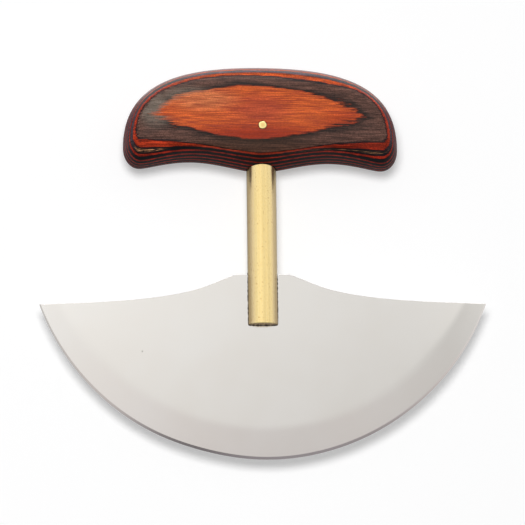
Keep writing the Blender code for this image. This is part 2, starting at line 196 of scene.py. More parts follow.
def blade_mesh():
    """Both faces of the blade, meeting in a sharp edge and joined along the eased back."""
    builder = bmesh.new()
    columns = []
    steps = [1 - (1 - step / BLADE_COLUMNS) ** COLUMN_CROWDING for step in range(BLADE_COLUMNS + 1)]
    steps = [EDGE_ANGLE * step for step in steps]
    for angle in [-angle for angle in reversed(steps[1:])] + steps:
        sides = []
        for side in (1, -1):
            line = []
            for inward, half in blade_column(abs(angle)):
                worn = edge_wear(angle) * max(0.0, 1 - inward / WEAR_FADE)
                radius = EDGE_RADIUS - inward - worn
                height = EDGE_LOW + EDGE_RADIUS - radius * math.cos(angle)
                place = (radius * math.sin(angle), height, BLADE_MIDDLE + side * half)
                line.append(builder.verts.new(place))
            sides.append(line)
        columns.append(sides)
    for near, far in zip(columns, columns[1:]):
        for side in (0, 1):
            for row in range(len(near[side]) - 1):
                ring = [near[side][row], far[side][row], far[side][row + 1], near[side][row + 1]]
                builder.faces.new(ring)
        builder.faces.new([near[0][-1], far[0][-1], far[1][-1], near[1][-1]])
    honed = {line[HONE_STOPS.index(1.0)] for sides in columns for line in sides}
    keen = {line[0] for sides in columns for line in sides}
    for edge in builder.edges:
        both = set(edge.verts)
        edge.smooth = not (both <= honed or both <= keen)
    bmesh.ops.remove_doubles(builder, verts=builder.verts, dist=WELD_REACH)
    bmesh.ops.dissolve_degenerate(builder, dist=WELD_REACH, edges=builder.edges)
    for face in builder.faces:
        face.smooth = True
    return finished(builder, "blade_sheet")


def linear(hex_colour):
    """An sRGB hex colour as linear light, with full alpha."""
    channels = [int(hex_colour[start:start + 2], 16) / 255 for start in (1, 3, 5)]
    light = [c / 12.92 if c <= 0.04045 else ((c + 0.055) / 1.055) ** 2.4 for c in channels]
    return (*light, 1.0)


def fill_inputs(tree, node, inputs):
    """Gives a node its inputs, by name or in order. Each is a value, a node or a socket."""
    for name, value in inputs.items() if isinstance(inputs, dict) else enumerate(inputs):
        if isinstance(value, bpy.types.Node):
            tree.links.new(value.outputs[0], node.inputs[name])
        elif isinstance(value, bpy.types.NodeSocket):
            tree.links.new(value, node.inputs[name])
        else:
            node.inputs[name].default_value = value


def add_node(tree, kind, inputs, operation=None, **settings):
    """Adds a shader node of a kind, with its inputs, its operation and its other settings."""
    made = tree.nodes.new("ShaderNode" + kind)
    if operation:
        made.operation = operation
    for name, value in settings.items():
        setattr(made, name, value)
    fill_inputs(tree, made, inputs)
    return made


def new_material(name):
    """A material, its tree, its shader and the place on the piece, in metres."""
    made = bpy.data.materials.new(name)
    made.use_nodes = True
    tree = made.node_tree
    place = add_node(tree, "TexCoord", {}).outputs["Object"]
    return made, tree, tree.nodes["Principled BSDF"], place


def set_stops(ramp, stops):
    """Gives a colour ramp its stops, as (place, hex colour)."""
    elements = ramp.color_ramp.elements
    while len(elements) < len(stops):
        elements.new(0.5)
    for element, (place, colour) in zip(elements, stops):
        element.position = place
        element.color = linear(colour)


# Stainless steel, belt ground and polished: a pale grey that mirrors what is near and blurs what is
# far, slightly cloudy, with a few dark specks. The belt leaves lines from edge to back, too fine to
# show, which are drawn four times coarser than they are.
STEEL_PALE = "#dfddda"
STEEL_DEEP = "#dcd9d5"
STEEL_SPECK = "#8d8780"
BELT_LINE_PITCH = 0.25 * MM
BELT_LINE_LENGTH = 14.0 * MM
CLOUD_SIZE = 22.0 * MM
SPECK_SPACING = 17.0 * MM
SPECK_RADIUS = 0.3 * MM
LINE_SHARE = 0.2
STEEL_ROUGHNESS = {"To Min": 0.12, "To Max": 0.17}
# Most values of a noise lie in this span
NOISE_SPAN = {"From Min": 0.3, "From Max": 0.7}

steel, tree, shader, place = new_material("belt_polished_stainless_steel")
line_scale = (1 / BELT_LINE_PITCH, 1 / BELT_LINE_LENGTH, 1 / BELT_LINE_LENGTH)
line_place = add_node(tree, "VectorMath", [place, line_scale], "MULTIPLY")
lines = add_node(tree, "TexNoise", {"Vector": line_place, "Scale": 1.0, "Detail": 3.0})
clouds = add_node(tree, "TexNoise", {"Vector": place, "Scale": 1 / CLOUD_SIZE, "Detail": 4.0})
mottle = add_node(tree, "Mix", {0: LINE_SHARE, 2: clouds, 3: lines})
tint = add_node(tree, "ValToRGB", {"Fac": mottle})
set_stops(tint, [(0.35, STEEL_DEEP), (0.65, STEEL_PALE)])
specks = add_node(tree, "TexVoronoi", {"Vector": place, "Scale": 1 / SPECK_SPACING})
chance = add_node(tree, "SeparateXYZ", [specks.outputs["Color"]])
speck_size = {"Value": chance.outputs[0], "From Min": 0.5, "To Max": SPECK_RADIUS / SPECK_SPACING}
speck_reach = add_node(tree, "MapRange", speck_size)
within = [specks.outputs["Distance"], speck_reach]
on_speck = add_node(tree, "Math", within, "LESS_THAN")
layer = {0: on_speck, 6: tint, 7: linear(STEEL_SPECK)}
specked = add_node(tree, "Mix", layer, data_type="RGBA")
gloss = add_node(tree, "MapRange", {"Value": mottle, **NOISE_SPAN, **STEEL_ROUGHNESS})
scratches = {"Height": lines, "Strength": 0.02, "Distance": 0.01 * MM}
scratch = add_node(tree, "Bump", scratches)
finish = {"Base Color": specked.outputs[2], "Roughness": gloss, "Normal": scratch, "Metallic": 1.0}
fill_inputs(tree, shader, finish)

blade = add_piece("blade_sheet", blade_mesh(), steel)
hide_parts("blade")
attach(blade, "root")


# Stem. A straight round brass rod, 12.7 mm thick. Its lower end is slotted and straddles the
# blade, and its upper end stands in the handle. It was drawn, then rubbed bright along its length.
STEM_RADIUS = 6.35 * MM
STEM_LOWER_END = EDGE_LOW + 58.0 * MM
STEM_UPPER_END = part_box("stem")[1][1]
STEM_EDGE_ROUND = 0.22 * MM
SLOT_SLACK = 0.03 * MM
PIN_HEIGHT = (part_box("handle_pin")[0][1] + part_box("handle_pin")[1][1]) / 2
PIN_RADIUS = 1.70 * MM
PIN_HOLE_REACH = 20.0 * MM
PIN_SIDES = 48
ROD_SIDES = 128
STEM_CRISP_EDGE = math.radians(35)


def join_rings(builder, rings, ends=(0, -1)):
    """Walls from each closed ring of points to the next, and a face over each of the ends."""
    for near, far in zip(rings, rings[1:]):
        for step in range(len(near)):
            after = (step + 1) % len(near)
            builder.faces.new([near[step], near[after], far[after], far[step]])
    for end in ends:
        builder.faces.new(rings[end])


def turned(name, profile, sides):
    """A closed body turned about the Y axis at the blade's mid plane, from (radius, y) points."""
    builder = bmesh.new()
    rings = []
    for radius, along in profile:
        turns = [2 * math.pi * (step + 0.5) / sides for step in range(sides)]
        places = [(radius * math.cos(a), along, BLADE_MIDDLE + radius * math.sin(a)) for a in turns]
        rings.append([builder.verts.new(corner) for corner in places])
    join_rings(builder, rings)
    return finished(builder, name)


def box_mesh(name, low, high):
    """A box from its lowest to its highest corner."""
    builder = bmesh.new()
    bmesh.ops.create_cube(builder, size=1.0)
    size = Vector(high) - Vector(low)
    spot = Matrix.Translation((Vector(high) + Vector(low)) / 2) @ Matrix.Diagonal((*size, 1.0))
    bmesh.ops.transform(builder, matrix=spot, verts=builder.verts)
    return finished(builder, name)


def pin_hole(radius):
    """A cutter for the cross pin's hole: a rod made about the Y axis, then turned to stand on Z."""
    mesh = turned("pin_hole", [(radius, -PIN_HOLE_REACH), (radius, PIN_HOLE_REACH)], PIN_SIDES)
    turn = Matrix.Rotation(math.radians(90), 4, "X")
    home = Matrix.Translation((0.0, 0.0, BLADE_MIDDLE))
    mesh.transform(Matrix.Translation((0.0, PIN_HEIGHT, BLADE_MIDDLE)) @ turn @ home.inverted())
    return mesh


def cut_away(piece, *cutters):
    """Cuts closed meshes out of a piece for good."""
    for cutter_mesh in cutters:
        cutter = bpy.data.objects.new(cutter_mesh.name, cutter_mesh)
        bpy.context.collection.objects.link(cutter)
        boolean = piece.modifiers.new(cutter_mesh.name, "BOOLEAN")
        boolean.operation = "DIFFERENCE"
        boolean.solver = "EXACT"
        boolean.object = cutter
        bpy.context.view_layer.update()
        evaluated = piece.evaluated_get(bpy.context.evaluated_depsgraph_get())
        cut_mesh = bpy.data.meshes.new_from_object(evaluated)
        piece.modifiers.remove(boolean)
        piece.data = cut_mesh
        bpy.data.objects.remove(cutter, do_unlink=True)


def shade(mesh, crisp):
    """Shades a mesh smoothly, apart from edges that turn by more than the angle."""
    mesh.shade_smooth()
    mesh.set_sharp_from_angle(angle=crisp)


def rounded_end(end, inward):
    """Profile points of the rod's end with a rounded rim. Inward is 1 or -1, from the end along Y."""
    points = [(STEM_RADIUS - STEM_EDGE_ROUND, end)]
    for turn in ROUNDING:
        rise = inward * STEM_EDGE_ROUND * (1 - math.cos(turn))
        points.append((STEM_RADIUS - STEM_EDGE_ROUND * (1 - math.sin(turn)), end + rise))
    return points + [(STEM_RADIUS, end + inward * 2 * STEM_EDGE_ROUND)]


# Brass, rubbed bright: pale yellow with a broad soft gloss, faint lines along the rod and small
# darker flecks, with painted shade that darkens and blues it towards the rod's sides.
BRASS_PALE = "#ffe8aa"
BRASS_DEEP = "#f8dc98"
BRASS_FLECK = "#d9a655"
# Painted shade and a bluish painted reflection, from the rod's middle line to its sides, as places and
# colours
PAINTED_SIDE_SHADE = [
    (0.0, "#f8f7f4"),
    (0.3, "#f0efed"),
    (0.5, "#ffffff"),
    (0.65, "#f0effc"),
    (0.8, "#dcdbea"),
    (0.95, "#b6b1ae"),
    (1.0, "#8a8480"),
]
# How far to the right of the rod's axis the painted shade's middle line lies
PAINTED_SIDE_SHADE_SHIFT = 0.05 * MM
RUB_LINE_LENGTH = 30.0 * MM
RUB_LINE_WIDTH = 0.22 * MM
FLECK_SIZE = 0.9 * MM
FLECK_WEIGHT = 0.5
FLECK_SHARE = {"From Min": 0.60, "From Max": 0.70, "To Max": 0.6}
BRASS_ROUGHNESS = {"To Min": 0.18, "To Max": 0.26}

brass, tree, shader, place = new_material("rubbed_brass_rod")
rub_scale = (1 / RUB_LINE_WIDTH, 1 / RUB_LINE_LENGTH, 1 / RUB_LINE_WIDTH)
rub_place = add_node(tree, "VectorMath", [place, rub_scale], "MULTIPLY")
rubs = add_node(tree, "TexNoise", {"Vector": rub_place, "Scale": 1.0, "Detail": 4.0})
flecks = add_node(tree, "TexNoise", {"Vector": place, "Scale": 1 / FLECK_SIZE, "Detail": 3.0})
mottle = add_node(tree, "Mix", {0: FLECK_WEIGHT, 2: rubs, 3: flecks})
tint = add_node(tree, "ValToRGB", {"Fac": mottle})
set_stops(tint, [(0.38, BRASS_DEEP), (0.62, BRASS_PALE)])
fleck_share = add_node(tree, "MapRange", {"Value": flecks, **FLECK_SHARE})
layer = {0: fleck_share, 6: tint, 7: linear(BRASS_FLECK)}
flecked = add_node(tree, "Mix", layer, data_type="RGBA")
gloss = add_node(tree, "MapRange", {"Value": mottle, **NOISE_SPAN, **BRASS_ROUGHNESS})
relief = {"Height": flecks, "Strength": 0.15, "Distance": 0.02 * MM}
scratch = add_node(tree, "Bump", relief)
parts = add_node(tree, "SeparateXYZ", [place])
# Painted shade: the rod's colour darkens and turns bluish towards its sides
off_axis = add_node(tree, "Math", [parts.outputs[0], PAINTED_SIDE_SHADE_SHIFT], "SUBTRACT")
off_axis = add_node(tree, "Math", [off_axis], "ABSOLUTE")
side_share = add_node(tree, "Math", [off_axis, STEM_RADIUS], "DIVIDE")
painted_side_shade = add_node(tree, "ValToRGB", {"Fac": side_share})
set_stops(painted_side_shade, PAINTED_SIDE_SHADE)
layer = {0: 1.0, 6: flecked.outputs[2], 7: painted_side_shade}
rod_colour = add_node(tree, "Mix", layer, data_type="RGBA", blend_type="MULTIPLY")
finish = {"Base Color": rod_colour.outputs[2], "Roughness": gloss, "Normal": scratch, "Metallic": 1.0}
fill_inputs(tree, shader, finish)

profile = rounded_end(STEM_LOWER_END, 1) + rounded_end(STEM_UPPER_END, -1)[::-1]
stem = add_piece("stem_rod", turned("stem_rod", profile, ROD_SIDES), brass)
slot_half = BLADE_THICKNESS / 2 + SLOT_SLACK
slot_top = EDGE_LOW + SPINE_HEIGHT + SLOT_SLACK
slot_low = (-2 * STEM_RADIUS, STEM_LOWER_END - STEM_RADIUS, BLADE_MIDDLE - slot_half)
slot_high = (2 * STEM_RADIUS, slot_top, BLADE_MIDDLE + slot_half)
cut_away(stem, box_mesh("slot", slot_low, slot_high), pin_hole(PIN_RADIUS))
shade(stem.data, STEM_CRISP_EDGE)
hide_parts("stem")
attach(stem, "root")


# Solder. It fills the slot and stands out as a thin, ragged, burnt bead where the stem's cheeks
# meet the blade, on both sides of the stem and on both faces of the blade. Its near black also
# paints the contact shade in the joint, and the bead across the lower end is widened for that shade.
BEAD_WIDTH = 0.34 * MM
BEAD_HEIGHT = 0.30 * MM
BEAD_STEP = 0.35 * MM
BEAD_SINK = 0.05 * MM
# The bead across the lower end is wider, so that its dark also paints the shade under the rod's end
END_BEAD_SHARE = 1.7
BEAD_UNEVENNESS = (0.35, 1.25)
BEAD_TAPER_START = 0.35
BEAD_TAPER_STEP = 0.4
BEAD_ROUNDING = [math.radians(degrees) for degrees in (0, 22, 45, 68, 90)]
BEAD_CRISP_EDGE = math.radians(60)
BEAD_SEED = 11
# A drop beside the stem at the blade's back: radius, shape, and place as shares of the radius
DROP_RADIUS = 0.35 * MM
DROP_SHAPE = (1.0, 1.6, 1.3, 1.0)
DROP_INWARD = 0.4
DROP_RISE = 1.5


def bead_mesh():
    """Uneven quarter-round beads: beside the stem, across its lower end, and on both faces."""
    draw = np.random.default_rng(BEAD_SEED)
    builder = bmesh.new()
    cheek = math.sqrt(STEM_RADIUS ** 2 - (BLADE_THICKNESS / 2) ** 2)
    top = EDGE_LOW + SPINE_HEIGHT - BEAD_SINK
    runs = []
    for side in (1, -1):
        low = Vector((side * (cheek - BEAD_SINK), STEM_LOWER_END))
        high = Vector((side * (cheek - BEAD_SINK), top))
        runs.append((low, high, Vector((side, 0.0)), 1.0))
    low = Vector((-cheek, STEM_LOWER_END + BEAD_SINK))
    high = Vector((cheek, STEM_LOWER_END + BEAD_SINK))
    runs.append((low, high, Vector((0.0, -1.0)), END_BEAD_SHARE))
    for face in (1, -1):
        for start, end, outward, thickness in runs:
            count = int((end - start).length / BEAD_STEP)
            rough = draw.uniform(*BEAD_UNEVENNESS, count + 1)
            rough = thickness * (rough + np.roll(rough, 1)) / 2
            rings = []
            for index, share in enumerate(rough):
                spot = start.lerp(end, index / count)
                taper = BEAD_TAPER_START + min(index, count - index) * BEAD_TAPER_STEP
                size = share * min(1.0, taper)
                ring = []
                for turn in BEAD_ROUNDING:
                    reach = spot + outward * (BEAD_WIDTH * size * math.cos(turn))
                    rise = BLADE_THICKNESS / 2 + BEAD_HEIGHT * size * math.sin(turn)
                    ring.append(builder.verts.new((reach.x, reach.y, BLADE_MIDDLE + face * rise)))
                root = (spot.x, spot.y, BLADE_MIDDLE + face * BLADE_THICKNESS / 2)
                ring.append(builder.verts.new(root))
                rings.append(ring)
            join_rings(builder, rings)
    drop = bmesh.ops.create_icosphere(builder, subdivisions=2, radius=DROP_RADIUS)["verts"]
    beside = DROP_INWARD * DROP_RADIUS - STEM_RADIUS
    place = Matrix.Translation((beside, top + DROP_RISE * DROP_RADIUS, BLADE_MIDDLE))
    bmesh.ops.transform(builder, matrix=place @ Matrix.Diagonal(DROP_SHAPE), verts=drop)
    return finished(builder, "solder_bead")


# Burnt solder and flux: nearly black brown, which also stands for painted contact shade in the joint,
# dull, with a few lighter crumbs
BURNT_DARK_AND_SHADE = "#2a211c"
BURNT_LIGHT = "#6b5c50"
CRUMB_SIZE = 0.5 * MM

solder, tree, shader, place = new_material("burnt_solder_and_painted_shade")
crumbs = add_node(tree, "TexNoise", {"Vector": place, "Scale": 1 / CRUMB_SIZE, "Detail": 3.0})
tint = add_node(tree, "ValToRGB", {"Fac": crumbs})
set_stops(tint, [(0.45, BURNT_DARK_AND_SHADE), (0.72, BURNT_LIGHT)])
crumbly = add_node(tree, "Bump", {"Height": crumbs, "Strength": 0.6, "Distance": 0.05 * MM})
fill_inputs(tree, shader, {"Base Color": tint, "Normal": crumbly, "Roughness": 0.7})

bead = add_piece("solder_bead", bead_mesh(), solder)
shade(bead.data, BEAD_CRISP_EDGE)
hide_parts("solder_seam")
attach(bead, "root")


# Handle. 27 birch veneers, dyed right through, glued face to face with resin, pressed, then band
# sawn and sanded to a palm shape. What shows is one sanded skin across all the plies, so the plies
# are made as one body whose material knows at which depth it lies.

# Half of the outline: top, side, lobe under the finger tips, scallop, seat of the stem
HANDLE_SEAT = 123.75 * MM
HANDLE_HEIGHT = 44.8 * MM
HANDLE_WIDTH = 116.75 * MM
SIDE_RISE = 10.0 * MM
LOBE_SPACING = 102.8 * MM
LOBE_RISE = 1.15 * MM
SCALLOP_SPACING = 59.0 * MM
SCALLOP_RISE = 4.1 * MM
HANDLE_CANT = math.radians(-0.71)
HANDLE_SHIFT = -0.3 * MM
# Rim of the face, where the rounded side ends and the crowned face begins
RIM_TOP_INSET = 5.3 * MM
RIM_SIDE_INSET = 4.9 * MM
RIM_SIDE_RISE = 4.1 * MM
RIM_LOBE_INSET = 0.7 * MM
RIM_LOBE_RISE = 10.5 * MM
RIM_SEAT_RISE = 6.55 * MM
# How the side turns in towards the rim: a blend of a broad rounding and a straight side with a
# tight corner. A roundness is the broad one's share.
BROAD_ROUNDING_POWER = 1.5
CORNER_ROUNDING_POWER = 6.0
TOP_ROUNDNESS = 0.30
END_ROUNDNESS = 0.54
LOBE_ROUNDNESS = 0.36
UNDERSIDE_ROUNDNESS = 1.0
# The pointed oval that sanding leaves of the outermost veneer, and the flat middle inside it
VENEER_THICKNESS = 1.05 * MM
FACE_VENEER_THICKNESS = 0.5 * MM
OVAL_POINT_RISE = 22.35 * MM
OVAL_SHIFT = -2.3 * MM
OVAL_TOP_POWER = 1.9
OVAL_BOTTOM_POWER = 2.4
# How far the oval and the flat lie inside the rim: at the top, at the bottom and at the ends
OVAL_INSETS = (4.0 * MM, 6.1 * MM, 8.2 * MM)
FLAT_INSETS = (10.6 * MM, 9.9 * MM, 24.7 * MM)
# The size of the last contour, inside the flat, which closes the mesh
FLAT_CORE_SHARE = 0.6
# Bore for the stem, and the hole for the pin
BORE_RADIUS = 6.65 * MM
BORE_DEPTH = 28.0 * MM
MOUTH_CHAMFER = 1.0 * MM
PIN_HOLE_RADIUS = 1.82 * MM
# Steps of the mesh, along the stretches of the half outline and from one contour to the next
TOP_STEPS = 44
CORNER_STEPS = 22
WAVE_STEPS = 20
SKIN_STEPS = 4
FACE_STEPS = 12
# Contours: at the glue lines in front of the mid plane, and the last ones, which shape the face
GLUE_LINES = 12
FACE_CONTOURS = 5
# Keeps two contours that meet from having no distance at all
KNOT_SLACK = 1e-6
BORE_SIDES = 96
HANDLE_CRISP_EDGE = math.radians(40)

HALF_HANDLE = (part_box("veneer_01_orange")[1][2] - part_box("veneer_27_orange")[0][2]) / 2
RIM_DEPTH = FACE_VENEER_THICKNESS + VENEER_THICKNESS
RIGHT = Vector((MM, 0.0))
UP = Vector((0.0, MM))
TOP = Vector((0.0, HANDLE_SEAT + HANDLE_HEIGHT))
SIDE = Vector((HANDLE_WIDTH / 2, HANDLE_SEAT + SIDE_RISE))
LOBE = Vector((LOBE_SPACING / 2, HANDLE_SEAT + LOBE_RISE))
SCALLOP = Vector((SCALLOP_SPACING / 2, HANDLE_SEAT + SCALLOP_RISE))
SEAT = Vector((0.0, HANDLE_SEAT))
RIM_TOP = TOP - Vector((0.0, RIM_TOP_INSET))
RIM_SIDE = SIDE + Vector((-RIM_SIDE_INSET, RIM_SIDE_RISE))
RIM_LOBE = LOBE + Vector((-RIM_LOBE_INSET, RIM_LOBE_RISE))
RIM_SEAT = SEAT + Vector((0.0, RIM_SEAT_RISE))
OVAL_MIDDLE = Vector((OVAL_SHIFT, HANDLE_SEAT + OVAL_POINT_RISE))
# Stretches of the outline and of the rim: the way in mm on which each leaves its first point, the
# way back from its last point on which it comes in, and the steps of the mesh along it
OUTLINE_STRETCHES = (
    (33.7 * RIGHT, 28.6 * UP, TOP_STEPS),
    (-5.1 * UP, 3.9 * RIGHT, CORNER_STEPS),
    (-3.7 * RIGHT, 9.9 * RIGHT, WAVE_STEPS),
    (-11.1 * RIGHT, 7.3 * RIGHT, WAVE_STEPS),
)
RIM_STRETCHES = (
    (33.1 * RIGHT, 19.7 * UP, TOP_STEPS),
    (-0.9 * UP, 1.7 * RIGHT, CORNER_STEPS),
    (-23.0 * RIGHT, 10.6 * RIGHT, 2 * WAVE_STEPS),
)


def closed_curve(points, stretches):
    """The closed curve, clockwise from its top, whose right half runs through the points."""
    right = []
    for start, end, (leaving, arriving, steps) in zip(points, points[1:], stretches):
        for step in range(steps):
            right.append(bezier(start, start + leaving, end + arriving, end, step / steps))
    right.append(points[-1])
    return right + [Vector((-point.x, point.y)) for point in reversed(right[1:-1])]


def pointed_oval(outline, top_inset, bottom_inset, end_inset):
    """An oval drawn in from the face's rim, with one point for each of the outline's."""
    rise = RIM_TOP.y - top_inset - OVAL_MIDDLE.y
    drop = OVAL_MIDDLE.y - RIM_SEAT.y - bottom_inset
    points = []
    for point in outline:
        up, aside = point.y - OVAL_MIDDLE.y, point.x
        turn = math.atan2(up / (HANDLE_HEIGHT / 2), aside / (HANDLE_WIDTH / 2))
        swing = abs(math.sin(turn))
        lift = rise * swing ** OVAL_TOP_POWER if turn > 0 else -drop * swing ** OVAL_BOTTOM_POWER
        points.append(OVAL_MIDDLE + Vector(((RIM_SIDE.x - end_inset) * math.cos(turn), lift)))
    return points


def roundnesses():
    """The roundness of the side, for each of the outline's points."""
    stretches = (
        (TOP_ROUNDNESS, END_ROUNDNESS, TOP_STEPS),
        (END_ROUNDNESS, LOBE_ROUNDNESS, CORNER_STEPS),
        (LOBE_ROUNDNESS, UNDERSIDE_ROUNDNESS, WAVE_STEPS),
        (UNDERSIDE_ROUNDNESS, UNDERSIDE_ROUNDNESS, WAVE_STEPS + 1),
    )
    shares = []
    for first, last, steps in stretches:
        for step in range(steps):
            eased = (1 - math.cos(math.pi * step / steps)) / 2
            shares.append(first + (last - first) * eased)
    return shares + shares[-2:0:-1]


def handle_stations():
    """Contours at every glue line, from the mid plane to the flat middle of the face, as arrays
    of x, y and height over the mid plane. They start one line below the mid plane."""
    outline = closed_curve((TOP, SIDE, LOBE, SCALLOP, SEAT), OUTLINE_STRETCHES)
    rim = closed_curve((RIM_TOP, RIM_SIDE, RIM_LOBE, RIM_SEAT), RIM_STRETCHES)
    shares = roundnesses()
    heights = [HALF_HANDLE - RIM_DEPTH - VENEER_THICKNESS * step for step in range(GLUE_LINES)]
    heights = sorted(heights + [0.0, -heights[-1]])
    contours = []
    for height in heights:
        rise = abs(height) / (HALF_HANDLE - RIM_DEPTH)
        broad = rise ** BROAD_ROUNDING_POWER
        tight = rise ** CORNER_ROUNDING_POWER
        trios = zip(outline, rim, shares)
        contour = [out.lerp(end, share * broad + (1 - share) * tight) for out, end, share in trios]
        contours.append((contour, height))
    flat = pointed_oval(outline, *FLAT_INSETS)
    core = [OVAL_MIDDLE.lerp(point, FLAT_CORE_SHARE) for point in flat]
    contours.append((pointed_oval(outline, *OVAL_INSETS), HALF_HANDLE - FACE_VENEER_THICKNESS))
    contours += [(flat, HALF_HANDLE), (core, HALF_HANDLE)]
    return np.array([[(point.x, point.y, height) for point in contour] for contour, height in contours])


def smooth_between(before, start, end, after, t):
    """A point between start and end on the smooth curve through all four, for whole contours."""
    def spaced(a, b):
        return np.sqrt(np.linalg.norm(b - a, axis=1, keepdims=True)) + KNOT_SLACK

    t0 = 0.0
    t1 = t0 + spaced(before, start)
    t2 = t1 + spaced(start, end)
    t3 = t2 + spaced(end, after)
    at = t1 + (t2 - t1) * t
    a1 = (t1 - at) / (t1 - t0) * before + (at - t0) / (t1 - t0) * start
    a2 = (t2 - at) / (t2 - t1) * start + (at - t1) / (t2 - t1) * end
    a3 = (t3 - at) / (t3 - t2) * end + (at - t2) / (t3 - t2) * after
    b1 = (t2 - at) / (t2 - t0) * a1 + (at - t0) / (t2 - t0) * a2
    b2 = (t3 - at) / (t3 - t1) * a2 + (at - t1) / (t3 - t1) * a3
    return (t2 - at) / (t2 - t1) * b1 + (at - t1) / (t2 - t1) * b2


def handle_mesh():
    """The sanded skin: the front half through its contours, and the back half as its mirror."""
    stations = handle_stations()
    rings = []
    for index in range(1, len(stations) - 2):
        steps = FACE_STEPS if index >= len(stations) - FACE_CONTOURS else SKIN_STEPS
        for step in range(steps):
            rings.append(smooth_between(*stations[index - 1:index + 3], step / steps))
    rings += [stations[-2], stations[-1]]
    builder = bmesh.new()
    pivot = Vector((0.0, PIN_HEIGHT - EDGE_LOW))
    turn = Matrix.Rotation(HANDLE_CANT, 2)
    halves = []
    for side in (1, -1):
        loops = []
        for ring in rings if side == 1 else rings[1:]:
            loop = []
            for x, y, z in ring:
                spot = turn @ (Vector((x, y)) - pivot) + pivot
                height = BLADE_MIDDLE + side * min(max(z, 0.0), HALF_HANDLE)
                along = min(spot.y + EDGE_LOW, cad_high[1])
                loop.append(builder.verts.new((spot.x + HANDLE_SHIFT, along, height)))
            loops.append(loop)
        halves.append(loops)
    front, back = halves
    join_rings(builder, front, ends=[-1])
    join_rings(builder, [front[0]] + back, ends=[-1])
    return finished(builder, "handle_skin")


# Dyed birch laminate, sealed and sanded to a satin. The dye is strongest at the glue faces and thin
# in the middle of a ply, so a black ply is brown inside, with undyed streaks, and the sanded
# boundaries fray along the fibres. The grain is drawn twice as coarse as birch's, so that it shows.
GLUE_BLACK = "#0c0f16"
DARK_BROWN = "#261c19"
PLY_BROWN = "#5c4037"
# Painted shade: a darker brown for the black ply low on the handle, where less light falls
PAINTED_SHADE_BROWN = "#38210f"
DEEP_BLACK = "#121112"
GLUE_RED = "#3f0c08"
PLY_RED = "#ab3418"
DARK_RED = "#701a0e"
# Painted light: a brighter red on the red plies at the top, where more light falls
PAINTED_LIGHT_RED = "#c9531f"
# The deeper red plies are darker than the outer one, as painted shade of the underside and sides where
# they show
DEEP_RED_WITH_PAINTED_SHADE = "#982715"
FACE_GLUE = "#5a200f"
FACE_ORANGE = "#ca5c2a"
FACE_RED = "#ac452d"
FACE_LOW = "#9c3319"
FACE_PALE = "#d47a4b"
FACE_STREAK = "#a03c2c"
UNDYED_TAN = "#e8a472"
STAIN_GREY = "#776b60"
# Painted sheen: a pale mauve on the deep plies at the top and on the side rims
PAINTED_SHEEN_MAUVE = "#69525c"
PLY = VENEER_THICKNESS / MM
FACE_PLY = FACE_VENEER_THICKNESS / MM
# Patterns, in mm: a length along the fibres and a width across them, or a depth
FINGERS = (7.0, 0.42)
FINGER_DEPTH = 0.21
TIP_FINGER_DEPTH = 0.52
WAVES = (30.0, 18.0)
WAVE_DEPTH = 0.14
GRAIN = (9.0, 0.42)
BANDS = (50.0, 3.5)
PORES = (22.0, 0.9)
MOTTLE = (0.6, 0.45)
STREAKS = (3.6, 0.3)
PLY_APART = 7.3
# Where sanding has left more or less of the outer plies: a place, a reach and a depth, all in mm
FULLER = {
    "upper left": ((-33.0, 10.5), (17.0, 8.0), 0.25),
    "top": ((-22.0, 21.0), (45.0, 4.5), 0.22),
    "upper right": ((22.0, 19.0), (26.0, 5.0), -0.28),
}

wood, tree, shader, place = new_material("dyed_birch_laminate")
pin_axis = (HANDLE_SHIFT, PIN_HEIGHT, BLADE_MIDDLE)
centred = add_node(tree, "VectorMath", [place, pin_axis], "SUBTRACT")
cant = {"Vector": centred, "Angle": -HANDLE_CANT}
level = add_node(tree, "VectorRotate", cant, rotation_type="Z_AXIS")
in_mm = add_node(tree, "VectorMath", {0: level, "Scale": 1 / MM}, "SCALE")
parts = add_node(tree, "SeparateXYZ", [in_mm])
off_pin = add_node(tree, "Math", [parts.outputs[0]], "ABSOLUTE")
off_middle = add_node(tree, "Math", [parts.outputs[2]], "ABSOLUTE")
depth = add_node(tree, "Math", [HALF_HANDLE / MM, off_middle], "SUBTRACT")


def fibre_pattern(length_and_width, detail, shift):
    """A noise drawn out along the fibres, which run along the handle."""
    length, width = length_and_width
    drawn = [in_mm, (1 / length, 1 / width, 1 / width), shift]
    spot = add_node(wood.node_tree, "VectorMath", drawn, "MULTIPLY_ADD")
    return add_node(wood.node_tree, "TexNoise", {"Vector": spot, "Scale": 1.0, "Detail": detail})


def soft_patch(middle, reach, strength):
    """A value that fades from the strength in a patch's middle to nothing at its reach, in mm."""
    (x, y), (reach_x, reach_y) = middle, reach
    tree = wood.node_tree
    drawn = [in_mm, (1 / reach_x, 1 / reach_y, 0.0), (-x / reach_x, -y / reach_y, 0.0)]
    spot = add_node(tree, "VectorMath", drawn, "MULTIPLY_ADD")
    away = add_node(tree, "VectorMath", [spot], "LENGTH").outputs["Value"]
    fade = {"Value": away, "From Min": 1.0, "From Max": 0.25, "To Max": strength}
    return add_node(tree, "MapRange", fade, interpolation_type="SMOOTHSTEP")


